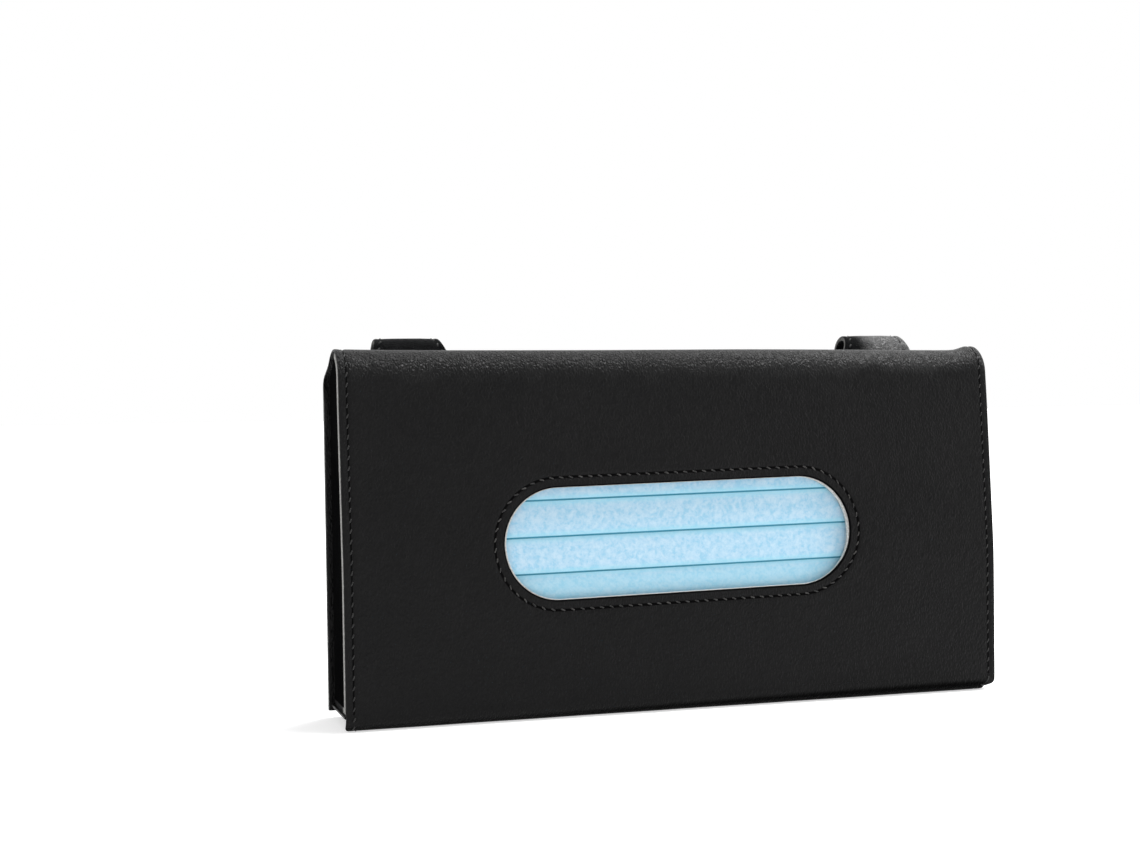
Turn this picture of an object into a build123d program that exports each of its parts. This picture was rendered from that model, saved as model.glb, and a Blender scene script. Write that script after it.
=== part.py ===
from build123d import *
import math
import os

# Car holder for face masks or tissues: a slim leather case with two strap loops for a sun visor.
# Its front cover swings up on a soft hinge along the top, and a flap folds under its bottom.
# Profiles are drawn in a side plane: y runs back from the cover's face, z up from the flap's underside.

# The case's outer sizes
case_width = 235.0
case_height = 123.0
case_depth = 32.0

# The layers of the stiffened sheet
leather = 0.9
board = 1.6
lining = 0.5
board_edge_show = 0.4

# The cover's side profile: bottom fold, upright front, slight lean, top bend
fold_radius = 5.0
lean_angle = 4.5
lean_radius = 150.0
bend_radius = 9.0
bend_centre_y = 14.0
board_bottom = 6.5

# The window in the cover
window_width = 124.5
window_height = 37.5
window_offset = -1.1
window_z = 59.3
window_tilt = 0.9

# The case's top, behind the cover's hinge line
hinge_gap = 0.3
crown_radius = 15.0
crown_angle = 44.4
top_slope = 30.0
top_corner_radius = 5.0

# The case's back and tray
back_board = 2.0
back_board_bare = 6.0
tray_corner_radius = 2.5
cover_clearance = 0.4
seam_clearance = 0.1
end_wall = 1.8
end_wall_inset = 1.5

# The bottom flap and its magnets
flap_back_inset = 5.0
flap_side_inset = 4.0
flap_gap = 1.0
flap_corner_radius = 5.0
flap_board_margin = 1.8
magnet_radius = 5.0
magnet_fit = 0.1
magnet_end_inset = 47.5
magnet_margin = 3.0

# The two strap loops
strap_width = 22.8
root_width = 26.8
strap_thickness = 2.0
strap_end_inset = 29.7
loop_radius = 7.2
loop_rise = 5.0
root_length = 32.0
tail_angle = 9.0
tail_bend_radius = 25.0
tail_end_z = 28.0
tail_corner_radius = 6.0

# The hook and loop patches
patch_thickness = 1.2
patch_gap = 0.2
patch_side_margin = 2.0
patch_corner_radius = 1.5
loop_patch_bottom = 22.0
loop_patch_length = 36.0
hook_patch_margin = 3.0
hook_patch_length = 22.0

# The folded masks
mask_end_room = 26.7
mask_head_room = 20.5
mask_clearance = 0.5
front_mask = 2.0
pleat_pitch = 12.2
pleat_rise = 1.9
pleat_step = 0.6
pleat_count = 3
pack_layers = 8
pack_groove = 0.5
pack_core_inset = 0.8

# One overrun for every cut
overrun = 20.0

# Places that follow from those sizes
sheet = leather + board + lining
skin_width = case_width - 2 * board_edge_show
bend_centre_z = case_height - bend_radius
crown_centre_z = case_height - crown_radius
lean = math.radians(lean_angle)
lean_depth = bend_centre_y - bend_radius * math.cos(lean)
lean_knee_z = bend_centre_z + bend_radius * math.sin(lean) - lean_depth / math.tan(lean)
lean_start_z = lean_knee_z - lean_radius * math.tan(lean / 2)
slope = math.radians(top_slope)
turn = math.radians(crown_angle)
seam_y = bend_centre_y + crown_radius * math.sin(turn)
seam_z = crown_centre_z + crown_radius * math.cos(turn)
back_corner_z = seam_z - (case_depth - seam_y) * math.tan(slope)
tray_front_y = sheet + cover_clearance
tray_z = sheet + flap_gap
tray_floor_z = tray_z + sheet
back_inner_y = case_depth - leather - back_board - lining
loop_centre_y = case_depth + loop_radius
loop_centre_z = case_height + loop_rise - loop_radius
loop_inner_radius = loop_radius - strap_thickness
tail_face_y = case_depth + 2 * patch_thickness + patch_gap
strap_x = case_width / 2 - strap_end_inset
mask_width = case_width - 2 * (end_wall_inset + end_wall + mask_end_room)
mask_height = case_height - tray_floor_z - mask_clearance - mask_head_room
overall_depth = case_depth + 2 * loop_radius


def side_face(edges):
    """A face in the side plane, from edges drawn in y and z."""
    return Plane.YZ * make_face(Curve() + edges)


def side_outline(points):
    """A face in the side plane with straight sides."""
    return Plane.YZ * make_face(Polyline(*points, close=True))


def across(face, width, centre_x=0):
    """The side face drawn out along x, centred on centre_x."""
    return Pos(centre_x, 0, 0) * extrude(face, amount=width / 2, both=True)


def band(outer, inner):
    """A strip between two open runs of edges."""
    ends = [Line(outer[0] @ 0, inner[0] @ 0), Line(outer[-1] @ 1, inner[-1] @ 1)]
    return side_face(outer + inner + ends)


def front_run(inset, bottom_z):
    """The cover's face, moved in by inset, from bottom_z up over the bend to the hinge gap."""
    gap_angle = math.degrees(hinge_gap / 2 / bend_radius)
    centre = (bend_centre_y, bend_centre_z)
    knee = CenterArc((lean_radius, lean_start_z), lean_radius - inset, 180, -lean_angle)
    bend = CenterArc(centre, bend_radius - inset, 180 - lean_angle, lean_angle + gap_angle - 90)
    return [Line((inset, bottom_z), (inset, lean_start_z)), knee, Line(knee @ 1, bend @ 0), bend]


def fold_run(inset):
    """The bottom fold, from under the tray round to the front."""
    return [
        CenterArc((fold_radius, fold_radius), fold_radius - inset, 270, -90),
        Line((inset, fold_radius), (inset, board_bottom)),
    ]


def crown_point(inset, angle):
    """The crown's point at an angle behind its highest line, moved in by inset."""
    reach = crown_radius - inset
    return (bend_centre_y + reach * math.sin(angle), crown_centre_z + reach * math.cos(angle))


def crown_run(inset, first_angle):
    """The crown from first_angle, in degrees behind its highest line, to the notch of the soft top."""
    centre = (bend_centre_y, crown_centre_z)
    return [CenterArc(centre, crown_radius - inset, 90 - first_angle, first_angle - crown_angle)]


def soft_top_z(y, inset):
    """The height of the soft top at a depth, moved in by inset."""
    return seam_z - (y - seam_y) * math.tan(slope) - inset / math.cos(slope)


def window_cutter():
    """The round-ended window, cut a little out of level, as a prism through the cover's face."""
    slot = SlotOverall(window_width, window_height, rotation=window_tilt)
    outline = Plane.XZ * Pos(window_offset, window_z) * slot
    return extrude(outline, amount=overrun, both=True)


def cover_skin():
    """The cover's leather, with the bottom fold."""
    outer = fold_run(0) + front_run(0, board_bottom)
    inner = fold_run(leather) + front_run(leather, board_bottom)
    return across(band(outer, inner), skin_width) - window_cutter()


def cover_layer(inset, thickness, width):
    """A layer of the cover from above the fold to the hinge."""
    outer = front_run(inset, board_bottom)
    inner = front_run(inset + thickness, board_bottom)
    return across(band(outer, inner), width) - window_cutter()


def case_skin():
    """The case's leather: crown, soft top, back and the tray's underside in one wrap."""
    first_angle = math.degrees(hinge_gap / 2 / crown_radius)

    def run(inset):
        notch = crown_point(inset, turn)
        back = case_depth - inset
        corner = (back, soft_top_z(back, inset))
        floor = tray_z + inset
        path = [notch, corner, (back, floor), (tray_front_y, floor)]
        radii = [top_corner_radius - inset, tray_corner_radius - inset]
        return crown_run(inset, first_angle), FilletPolyline(*path, radius=radii).edges()

    outer_crown, outer_rest = run(0)
    inner_crown, inner_rest = run(leather)
    front_end = Line((tray_front_y, tray_z), (tray_front_y, tray_z + leather))
    hinge_end = Line(outer_crown[0] @ 0, inner_crown[0] @ 0)
    edges = outer_crown + list(outer_rest) + [front_end] + inner_crown + list(inner_rest) + [hinge_end]
    return across(side_face(edges), skin_width)


def back_core():
    """The stiff sheet in the back, which stops below the soft top."""
    face_y = case_depth - leather
    top = back_corner_z - back_board_bare
    bottom = tray_z + tray_corner_radius
    points = [(face_y, bottom), (face_y, top), (face_y - back_board, top), (face_y - back_board, bottom)]
    return across(side_outline(points), skin_width)


def tray_core():
    """The stiff sheet in the tray's bottom, with a hole for each magnet."""
    back_y = case_depth - tray_corner_radius
    bottom = tray_z + leather
    points = [(tray_front_y, bottom), (back_y, bottom), (back_y, bottom + board), (tray_front_y, bottom + board)]
    return with_magnet_holes(across(side_outline(points), case_width - 2 * end_wall_inset))


def case_lining():
    """The lining of the tray and the back, up to the leather of the soft top."""

    def run(depth):
        back_y = back_inner_y + lining - depth
        floor = tray_floor_z - lining + depth
        return [(tray_front_y, floor), (back_y, floor), (back_y, soft_top_z(back_y, leather))]

    points = run(0) + run(lining)[::-1]
    return across(side_outline(points), case_width - 2 * (end_wall_inset + end_wall))


def end_wall_face():
    """An end wall's outline: inside the cover's profile, under the soft top and against the back."""
    inset = tray_front_y
    head = leather + seam_clearance
    floor = tray_z + leather + board
    back_y = case_depth - leather - back_board
    gap_angle = math.degrees(hinge_gap / crown_radius)
    front = front_run(inset, floor)
    crown = crown_run(head, gap_angle)
    notch = crown_point(head, turn)
    top = (back_y, soft_top_z(back_y, head))
    rest = [
        Line(front[-1] @ 1, crown[0] @ 0),
        Line(notch, top),
        Line(top, (back_y, floor)),
        Line((back_y, floor), (inset, floor)),
    ]
    return side_face(front + crown + rest)


def end_walls():
    """The two end walls, left and right."""
    centre = case_width / 2 - end_wall_inset - end_wall / 2
    face = end_wall_face()
    return across(face, end_wall, -centre), across(face, end_wall, centre)


def magnet_places():
    """The magnets' places seen from above, near the flap's free edge."""
    x = case_width / 2 - magnet_end_inset
    y = case_depth - flap_back_inset - magnet_margin - magnet_radius
    return Locations((-x, y), (x, y))


def with_magnet_holes(sheet_body):
    """The stiff sheet with a hole through it for each magnet."""
    for place in magnet_places():
        sheet_body -= place * Cylinder(magnet_radius + magnet_fit, overrun)
    return sheet_body


def magnets(bottom):
    """Two discs as thick as the stiff sheet that holds them."""
    low = (Align.CENTER, Align.CENTER, Align.MIN)
    return [Pos(0, 0, bottom) * place * Cylinder(magnet_radius, board, align=low) for place in magnet_places()]


def flap_layer(bottom, thickness, margin):
    """A layer of the flap, with round corners at its free edge."""
    width = case_width - 2 * flap_side_inset - 2 * margin
    start = fold_radius + hinge_gap + margin
    depth = case_depth - flap_back_inset - margin - start
    outline = Pos(0, start + depth / 2) * Rectangle(width, depth)
    free_corners = outline.vertices().group_by(Axis.Y)[-1]
    return Pos(0, 0, bottom) * extrude(fillet(free_corners, flap_corner_radius - margin), amount=thickness)


def strap_root(x):
    """The sewn part of a strap and the front half of its loop, which narrows towards its highest line."""
    centre = (loop_centre_y, loop_centre_z)
    bottom = loop_centre_z - root_length
    head = loop_centre_z + loop_radius
    gap_angle = math.degrees(hinge_gap / 2 / loop_radius)

    def run(radius):
        face_y = loop_centre_y - radius
        return [Line((face_y, bottom), (face_y, loop_centre_z)), CenterArc(centre, radius, 180, gap_angle - 90)]

    body = across(band(run(loop_radius), run(loop_inner_radius)), root_width, x)
    side = [(root_width / 2, bottom), (root_width / 2, case_height), (strap_width / 2, head)]
    outline = Polyline(*side, *[(-across_x, z) for across_x, z in side[::-1]], close=True)
    return body & extrude(Plane.XZ * Pos(x, 0) * make_face(outline), amount=overall_depth, both=True)


def strap_tail(x):
    """The free part of a strap: over the loop, slanting in to the back, then down, with a round end."""
    slant = math.radians(tail_angle)
    gap_angle = math.degrees(hinge_gap / 2 / loop_radius)
    bend_centre = tail_face_y + tail_bend_radius
    start_y = loop_centre_y + loop_inner_radius * math.cos(slant)
    start_z = loop_centre_z - loop_inner_radius * math.sin(slant)
    bend_y = bend_centre - tail_bend_radius * math.cos(slant)
    bend_z = start_z - (start_y - bend_y) / math.tan(slant) - tail_bend_radius * math.sin(slant)

    def run(depth):
        radius = loop_inner_radius + depth
        bend = tail_bend_radius - depth
        loop = CenterArc((loop_centre_y, loop_centre_z), radius, 90 - gap_angle, gap_angle - 90 - tail_angle)
        reverse = CenterArc((bend_centre, bend_z), bend, 180 - tail_angle, tail_angle)
        end = Line(reverse @ 1, (bend_centre - bend, tail_end_z))
        return [loop, Line(loop @ 1, reverse @ 0), reverse, end]

    body = across(band(run(strap_thickness), run(0)), strap_width, x)
    corners = body.edges().filter_by(Axis.Y).group_by(Axis.Z)[0]
    return fillet(corners, tail_corner_radius)


def patch(x, face_y, bottom, length):
    """A hook or loop patch whose front lies at face_y."""
    outline = RectangleRounded(strap_width - 2 * patch_side_margin, length, patch_corner_radius)
    return Pos(0, face_y, 0) * extrude(Plane.XZ * Pos(x, bottom + length / 2) * outline, amount=-patch_thickness)


def mask_lean(z):
    """How far back the masks lean with the cover at a height."""
    return max(z - lean_knee_z, 0) * math.tan(lean)


def mask_sheet(front_y, thickness, inset=0):
    """A mask, or layer of masks, upright at first and then leaning with the cover."""
    heights = (tray_floor_z + mask_clearance + inset, lean_knee_z, tray_floor_z + mask_clearance + mask_height - inset)
    front = [(front_y + mask_lean(z), z) for z in heights]
    back = [(y + thickness, z) for y, z in front[::-1]]
    return across(side_outline(front + back), mask_width - 2 * inset)


def pleated_mask():
    """The front mask, whose pleats step over one another towards the bottom."""
    first = window_z + pleat_rise - (pleat_count - 1) / 2 * pleat_pitch
    heads = [first + i * pleat_pitch for i in range(pleat_count)]
    feet = [tray_floor_z + mask_clearance] + heads[:-1]
    body = mask_sheet(tray_front_y, front_mask)
    for foot, head in zip(feet, heads):
        low = (tray_front_y + mask_lean(foot), foot)
        high = (tray_front_y + mask_lean(head) + pleat_step, head)
        body -= across(side_outline([(0, foot), low, high, (0, head)]), mask_width + overrun)
    return body


def mask_pack():
    """The other masks, as leaning layers on a slightly smaller core."""
    front_y = tray_front_y + front_mask + mask_clearance
    top = tray_floor_z + mask_clearance + mask_height
    depth = back_inner_y - mask_clearance - mask_lean(top) - front_y
    pitch = (depth + pack_groove) / pack_layers
    body = mask_sheet(front_y, depth, pack_core_inset)
    for i in range(pack_layers):
        body += mask_sheet(front_y + i * pitch, pitch - pack_groove)
    return body


def build():
    """Every node's solids at rest: cover closed, flap folded under, straps closed."""
    left_end, right_end = end_walls()
    nodes = {
        "case_skin": [case_skin()],
        "back_board": [back_core()],
        "tray_board": [tray_core()],
        "case_magnets": magnets(tray_z + leather),
        "case_lining": [case_lining()],
        "left_end_wall": [left_end],
        "right_end_wall": [right_end],
        "mask_pack": [mask_pack()],
        "front_mask": [pleated_mask()],
        "cover_skin": [cover_skin()],
        "cover_board": [cover_layer(leather, board, case_width)],
        "cover_lining": [cover_layer(leather + board, lining, skin_width)],
        "flap_skin": [flap_layer(0, leather, 0)],
        "flap_board": [with_magnet_holes(flap_layer(leather, board, flap_board_margin))],
        "flap_lining": [flap_layer(leather + board, lining, 0)],
        "flap_magnets": magnets(leather),
    }
    for side, x in (("left", -strap_x), ("right", strap_x)):
        hook_bottom = tail_end_z + hook_patch_margin
        nodes[f"{side}_strap_root"] = [strap_root(x)]
        nodes[f"{side}_strap"] = [strap_tail(x)]
        nodes[f"{side}_loop_patch"] = [patch(x, case_depth, loop_patch_bottom, loop_patch_length)]
        nodes[f"{side}_hook_patch"] = [patch(x, tail_face_y - patch_thickness, hook_bottom, hook_patch_length)]
    return nodes


os.makedirs("parts", exist_ok=True)
for name, solids in build().items():
    placed = [Pos(0, -overall_depth / 2, 0) * solid for solid in solids]
    export_step(Compound(children=placed) if len(placed) > 1 else placed[0], f"parts/{name}.step")
print("overall depth", round(overall_depth, 3), "loop centre", round(loop_centre_y, 3), round(loop_centre_z, 3))
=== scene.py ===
import math
import random

import bmesh
import bpy
from mathutils import Matrix, Vector


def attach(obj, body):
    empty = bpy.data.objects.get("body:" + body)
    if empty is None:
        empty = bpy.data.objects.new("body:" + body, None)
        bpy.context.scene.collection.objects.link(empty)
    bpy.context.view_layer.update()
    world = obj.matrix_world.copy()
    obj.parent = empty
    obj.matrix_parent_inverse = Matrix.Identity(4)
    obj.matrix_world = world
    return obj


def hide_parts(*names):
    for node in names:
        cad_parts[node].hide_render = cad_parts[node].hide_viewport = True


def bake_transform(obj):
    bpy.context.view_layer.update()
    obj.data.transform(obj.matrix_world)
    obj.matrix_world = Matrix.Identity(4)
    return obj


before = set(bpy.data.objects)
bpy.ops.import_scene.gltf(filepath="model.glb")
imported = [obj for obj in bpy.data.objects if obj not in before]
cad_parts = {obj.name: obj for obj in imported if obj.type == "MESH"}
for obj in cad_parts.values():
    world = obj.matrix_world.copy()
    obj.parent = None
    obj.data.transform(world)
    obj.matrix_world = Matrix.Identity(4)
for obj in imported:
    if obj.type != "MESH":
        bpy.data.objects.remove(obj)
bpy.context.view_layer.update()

# The leather wrap: one piece of black artificial leather goes up the cover's front, over the top
# and down the back. It is glued to its boards, cut flush at both ends and sewn along the ends.
# Depths run back from the cover's face and heights up from the standing face, in millimetres.
MM = 0.001
half_overall_depth = 23.2
wrap_half_width = 117.1
leather_thickness = 0.9
wrap_bottom = 6.0
lean_angle = 4.5
lean_radius = 150.0
top_bend_centre = (14.0, 114.0)
top_bend_radius = 9.0
crown_centre = (14.0, 108.0)
crown_radius = 15.0
crown_angle = 44.4
top_slope = 30.0
top_corner_radius = 5.0
case_depth = 32.0
back_seam_z = 2.7
back_board_thickness = 2.0
turned_leather = 0.8
window_centre = (-1.1, 59.3)
window_tilt = 0.9
window_half_straight = 43.5
window_radius = 18.75
end_round = 0.45
stitch_press = 0.42
press_width = 0.65
top_reach = 40


def line_piece(start, end):
    """A straight stretch: its length, and the point at a distance along it."""
    length = math.dist(start, end)

    def point(s):
        share = s / length
        return start[0] + (end[0] - start[0]) * share, start[1] + (end[1] - start[1]) * share

    return length, point


def arc_piece(centre, radius, first, last):
    """A round stretch between two angles in degrees."""
    length = radius * math.radians(abs(last - first))

    def point(s):
        angle = math.radians(first + (last - first) * s / length)
        return centre[0] + radius * math.cos(angle), centre[1] + radius * math.sin(angle)

    return length, point


def route(stretches):
    """Stretches end to end as one: their length, and the point at a distance along them."""

    def point(s):
        for length, at in stretches:
            if s <= length or at is stretches[-1][1]:
                return at(s)
            s -= length

    return sum(length for length, _ in stretches), point


def profile(*parts):
    """A side profile through points and arcs, with a line wherever two of these lie apart: its
    length, the point and outward direction at a distance along it, and its stretches."""
    stretches, end = [], None
    for part in parts:
        arc = callable(part[1])
        start = part[1](0) if arc else part
        if end and math.dist(end, start) > 0.001:
            stretches.append(line_piece(end, start))
        if arc:
            stretches.append(part)
        end = part[1](part[0]) if arc else part
    total, point = route(stretches)
    reach = 0.02

    def place(s):
        y0, z0 = point(max(s - reach, 0))
        y1, z1 = point(min(s + reach, total))
        size = math.hypot(y1 - y0, z1 - z0)
        y, z = point(min(max(s, 0), total))
        return y, z, -(z1 - z0) / size, (y1 - y0) / size

    return total, place, stretches


def spread(first, *runs):
    """Positions from first on, in runs, each given as its end and about how far apart they lie."""
    out = [first]
    for last, step in zip(runs[::2], runs[1::2]):
        count = max(1, round(abs(last - first) / step))
        out += [first + (last - first) * i / count for i in range(1, count + 1)]
        first = last
    return out


def mirrored(left, step):
    """Positions across a sheet: its left end's, then about step apart, then its right end's."""
    return left + spread(left[-1], -left[-1], step)[1:-1] + [-x for x in reversed(left)]


def edge_columns(half_width, step):
    """Positions across a sheet, close together near its two ends."""
    near = [0.0, 0.12, 0.3, 0.6, 1.1, 1.8, 2.4, 2.9, 3.4, 3.9, 4.5, 5.4, 6.6, 8.2]
    return mirrored([-half_width + d for d in near], step)


def rounded(distance, radius):
    """How far a rounded edge falls back at a distance from the rim."""
    if distance >= radius:
        return 0.0
    return radius - math.sqrt(max(radius**2 - (radius - distance) ** 2, 0))


def groove(distance, width):
    """The press of a row of stitches into the leather, from 1 at the row to 0."""
    return math.exp(-((distance / width) ** 2))


def waves(x, s, seed, *periods):
    """Slow unevenness of hand-glued leather, between about -1 and 1."""
    draw = random.Random(seed)
    total = 0.0
    for period in periods:
        turn, phase = draw.uniform(0, math.pi), draw.uniform(0, math.tau)
        total += math.sin((x * math.cos(turn) + s * math.sin(turn)) * math.tau / period + phase)
    return total / len(periods)


def grid_faces(columns, rows, hole=None):
    """Points and four-sided faces of a grid over columns and rows, without those inside hole."""
    points = [(x, s) for s in rows for x in columns]
    wide = len(columns)
    faces = []
    for j in range(len(rows) - 1):
        for i in range(wide - 1):
            middle = ((columns[i] + columns[i + 1]) / 2, (rows[j] + rows[j + 1]) / 2)
            if hole and hole[0] < middle[0] < hole[1] and hole[2] < middle[1] < hole[3]:
                continue
            a = j * wide + i
            faces.append((a, a + 1, a + 1 + wide, a + wide))
    return points, faces


def linked(name, data):
    """A new object in the scene from a mesh, lamp or camera."""
    piece = bpy.data.objects.new(name, data)
    bpy.context.collection.objects.link(piece)
    return piece


def smooth_piece(name, work, material, sharp_from=None):
    """A new object from a finished bmesh, smooth but for edges sharper than an angle in degrees."""
    bmesh.ops.recalc_face_normals(work, faces=work.faces)
    mesh = bpy.data.meshes.new(name)
    work.to_mesh(mesh)
    work.free()
    mesh.materials.append(material)
    mesh.shade_smooth()
    if sharp_from:
        mesh.set_sharp_from_angle(angle=math.radians(sharp_from))
    return linked(name, mesh)


def sheet_object(name, points, faces, outer, inner, material):
    """A closed sheet: its outer and inner sides from one flat grid, walled along each open edge."""
    work = bmesh.new()
    flat = {}
    keys = [(round(x, 4), round(s, 4)) for x, s in points]
    for key in keys:
        if key not in flat:
            flat[key] = (work.verts.new(outer(*key)), work.verts.new(inner(*key)))
    edges = {}
    for face in faces:
        ring = [keys[i] for i in face]
        work.faces.new([flat[key][0] for key in ring])
        work.faces.new([flat[key][1] for key in reversed(ring)])
        for a, b in zip(ring, ring[1:] + ring[:1]):
            edges[(a, b)] = True
    for a, b in edges:
        if (b, a) not in edges:
            work.faces.new([flat[b][0], flat[a][0], flat[a][1], flat[b][1]])
    loose = [v for v in work.verts if not v.link_faces]
    bmesh.ops.delete(work, geom=loose, context="VERTS")
    return smooth_piece(name, work, material, 50)


def in_frame(x, y, z):
    """A point of the case in metres, in the part's frame."""
    return x * MM, (y - half_overall_depth) * MM, z * MM


def below(place, x, s, depth):
    """The point at a depth under a side profile's outer side."""
    y, z, ny, nz = place(s)
    return in_frame(x, y - ny * depth, z - nz * depth)


def lean_knee():
    """The height from which the front leans back, if the knee there were sharp."""
    angle = math.radians(lean_angle)
    depth = top_bend_centre[0] - top_bend_radius * math.cos(angle)
    return top_bend_centre[1] + top_bend_radius * math.sin(angle) - depth / math.tan(angle)


# The wrap's side profile: front, lean, top bend, crown, soft top and back.
slope = math.radians(top_slope)
crown = arc_piece(crown_centre, crown_radius, 90, 90 - crown_angle)
notch = crown[1](crown[0])
lap = top_corner_radius * math.tan((math.pi / 2 - slope) / 2)
corner_z = notch[1] - (case_depth - notch[0]) * math.tan(slope) - lap
lean_start = lean_knee() - lean_radius * math.tan(math.radians(lean_angle) / 2)
wrap_length, wrap_place, stretches = profile(
    (0, wrap_bottom),
    arc_piece((lean_radius, lean_start), lean_radius, 180, 180 - lean_angle),
    arc_piece(top_bend_centre, top_bend_radius, 180 - lean_angle, 90),
    crown,
    arc_piece((case_depth - top_corner_radius, corner_z), top_corner_radius, 90 - top_slope, 0),
    (case_depth, back_seam_z),
)
wrap_marks = [0.0]
for length, _ in stretches:
    wrap_marks.append(wrap_marks[-1] + length)
bend_s, apex_s, notch_s, back_corner_s, back_s = wrap_marks[3:-1]
back_top_s = back_s + 0.5
window_s = window_centre[1] - wrap_bottom
window_pad = (-77.0, 74.0, 27.0, 80.0)
wrap_stitch_inset = 2.7
window_stitch_gap = 3.3
window_lip = 0.3
# Widths of the black painted shade at the window's rim and in each stitch groove.
rim_shade_width = 0.45
groove_shade_width = 0.32


def window_middle(x, s):
    """The point of the window's straight middle line that is nearest to a point of the wrap."""
    across, up = math.cos(math.radians(window_tilt)), math.sin(math.radians(window_tilt))
    along = (x - window_centre[0]) * across + (s - window_s) * up
    along = min(max(along, -window_half_straight), window_half_straight)
    return window_centre[0] + along * across, window_s + along * up


def window_distance(x, s):
    """How far a point of the wrap lies outside the window's rim."""
    return math.dist((x, s), window_middle(x, s)) - window_radius


def outside_window(x, s, gap):
    """The point at a gap from the window's rim, on the way out to a point of the wrap."""
    mx, ms = window_middle(x, s)
    share = (window_radius + gap) / math.dist((x, s), (mx, ms))
    return mx + (x - mx) * share, ms + (s - ms) * share


def eased(value, start, end):
    """From 0 at start to 1 at end, with soft ends."""
    share = min(max((value - start) / (end - start), 0), 1)
    return share * share * (3 - 2 * share)


def top_sag(x, s):
    """How far the soft top lies below its plain profile: it is high at the left, with a cap at the
    right corner."""
    if abs(s - apex_s) > top_reach:
        return 0.0
    sag = 0.85 * eased(x, 20, 105) - 1.15 * math.exp(-(x + wrap_half_width) / 45)
    cap = 1.2 * eased(x, 115.8, 118.0) - 1.5 * groove(x - 114.4, 3.6)
    return groove(s - apex_s, 13.0) * sag + groove(s - apex_s + 2, 9.0) * cap


def wrap_depth(x, s):
    """How far the wrap's outer side lies below its plain profile."""
    from_end = wrap_half_width - abs(x)
    depth = rounded(from_end, end_round)
    depth += stitch_press * groove(from_end - wrap_stitch_inset, press_width)
    depth += 0.10 * waves(x, s, 3, 61.0, 43.0, 29.0) * min(from_end / 6, 1)
    if s < window_pad[3] + 12:
        rim = window_distance(x, s)
        depth += rounded(rim, 0.4) + stitch_press * groove(rim - window_stitch_gap, press_width)
        depth += 0.12 * groove(rim - 1.4, 1.2)
    if abs(s - apex_s) < top_reach:
        for start_x, lean_x in ((109.0, 0.95), (105.0, 0.8), (100.0, 0.6)):
            crease = (x - start_x) - lean_x * (s - apex_s + 3)
            depth += 0.14 * groove(s - apex_s + 8, 7.0) * groove(crease, 1.1) * eased(x, 88, 100)
    return depth + top_sag(x, s)


def wrap_spread(x, s):
    """A point's place across: the back is wider, with its leather turned round the board's ends."""
    return x * (1 + turned_leather / wrap_half_width * eased(s, apex_s + 8, back_top_s))


def wrap_outer(x, s):
    return below(wrap_place, wrap_spread(x, s), s, wrap_depth(x, s))


def wrap_inner(x, s):
    """The wrap's inner side: one layer of leather, or leather round the board at the back."""
    turned = eased(s, back_top_s, back_top_s + 3)
    depth = leather_thickness + back_board_thickness * turned
    depth -= 0.6 * turned * rounded(wrap_half_width - abs(x), 0.8)
    if s < bend_s and window_distance(x, s) < 0.12:
        depth += window_lip
    return below(wrap_place, wrap_spread(x, s), s, depth + top_sag(x, s))


def cover_grid(half_width, first_s, *upper_runs):
    """A flat grid over the cover's front and upper_runs, with rings of faces round the window."""
    x0, x1, s0, s1 = window_pad
    columns = edge_columns(half_width, 2.5)
    middle = spread(x0, x1, 2.5)
    columns = [x for x in columns if x < x0 - 1.2] + middle + [x for x in columns if x > x1 + 1.2]
    across_window = spread(s0, s1, 2.5)
    rows = spread(first_s, s0, 2.7, s1, 2.5, bend_s, 2.5, *upper_runs)
    points, faces = grid_faces(columns, rows, window_pad)
    border = [(x, s0) for x in middle] + [(x1, s) for s in across_window[1:]]
    border += [(x, s1) for x in reversed(middle[:-1])]
    border += [(x0, s) for s in reversed(across_window[1:-1])]
    gaps = [0.0, 0.1, 0.25, 0.5, 0.9, 1.5, 2.1, 2.6, 3.0, 3.4, 3.8, 4.4, 5.2, 6.2]
    rings = [[outside_window(x, s, gap) for x, s in border] for gap in gaps]
    lines = [line_piece(a, b) for a, b in zip(rings[-1], border)]
    rings += [[at(length * share) for length, at in lines] for share in (0.25, 0.6)]
    rings.append(border)
    start, count = len(points), len(border)
    for k in range(len(rings) - 1):
        for i in range(count):
            j = (i + 1) % count
            a = start + k * count
            b = a + count
            faces.append((a + j, a + i, b + i, b + j))
    return points + sum(rings, []), faces


def feed(tree, node, sockets):
    """Give a node its inputs, by name or number: each a value, or the output that feeds it."""
    for key, value in sockets.items():
        if isinstance(value, bpy.types.NodeSocket):
            tree.links.new(value, node.inputs[key])
        else:
            node.inputs[key].default_value = value


def shade(tree, kind, sockets, out="Result", **settings):
    """One output of a new shader node with these inputs and settings."""
    node = tree.nodes.new("ShaderNode" + kind)
    for key, value in settings.items():
        setattr(node, key, value)
    feed(tree, node, sockets)
    return node.outputs[out]


def position(tree):
    """The place on a piece, in metres."""
    return shade(tree, "TexCoord", {}, "Object")


def node_material(name):
    """A new material, its node tree, its shader and the place on a piece, for its patterns."""
    material = bpy.data.materials.new(name)
    material.use_nodes = True
    tree = material.node_tree
    return material, tree, tree.nodes["Principled BSDF"], position(tree)


def noise(tree, where, scale, detail=2.0, out="Fac", **more):
    """Cloudy noise. Scales are in patterns a metre."""
    return shade(tree, "TexNoise", {"Vector": where, "Scale": scale, "Detail": detail, **more}, out)


def number(tree, operation, *values):
    """The result of arithmetic on numbers and outputs."""
    return shade(tree, "Math", dict(enumerate(values)), "Value", operation=operation)


def remap(tree, value, start, end, low=0.0, high=1.0, **settings):
    """From low where the value is at start to high at end."""
    sockets = {"Value": value, "From Min": start, "From Max": end, "To Min": low, "To Max": high}
    return shade(tree, "MapRange", sockets, **settings)


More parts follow.
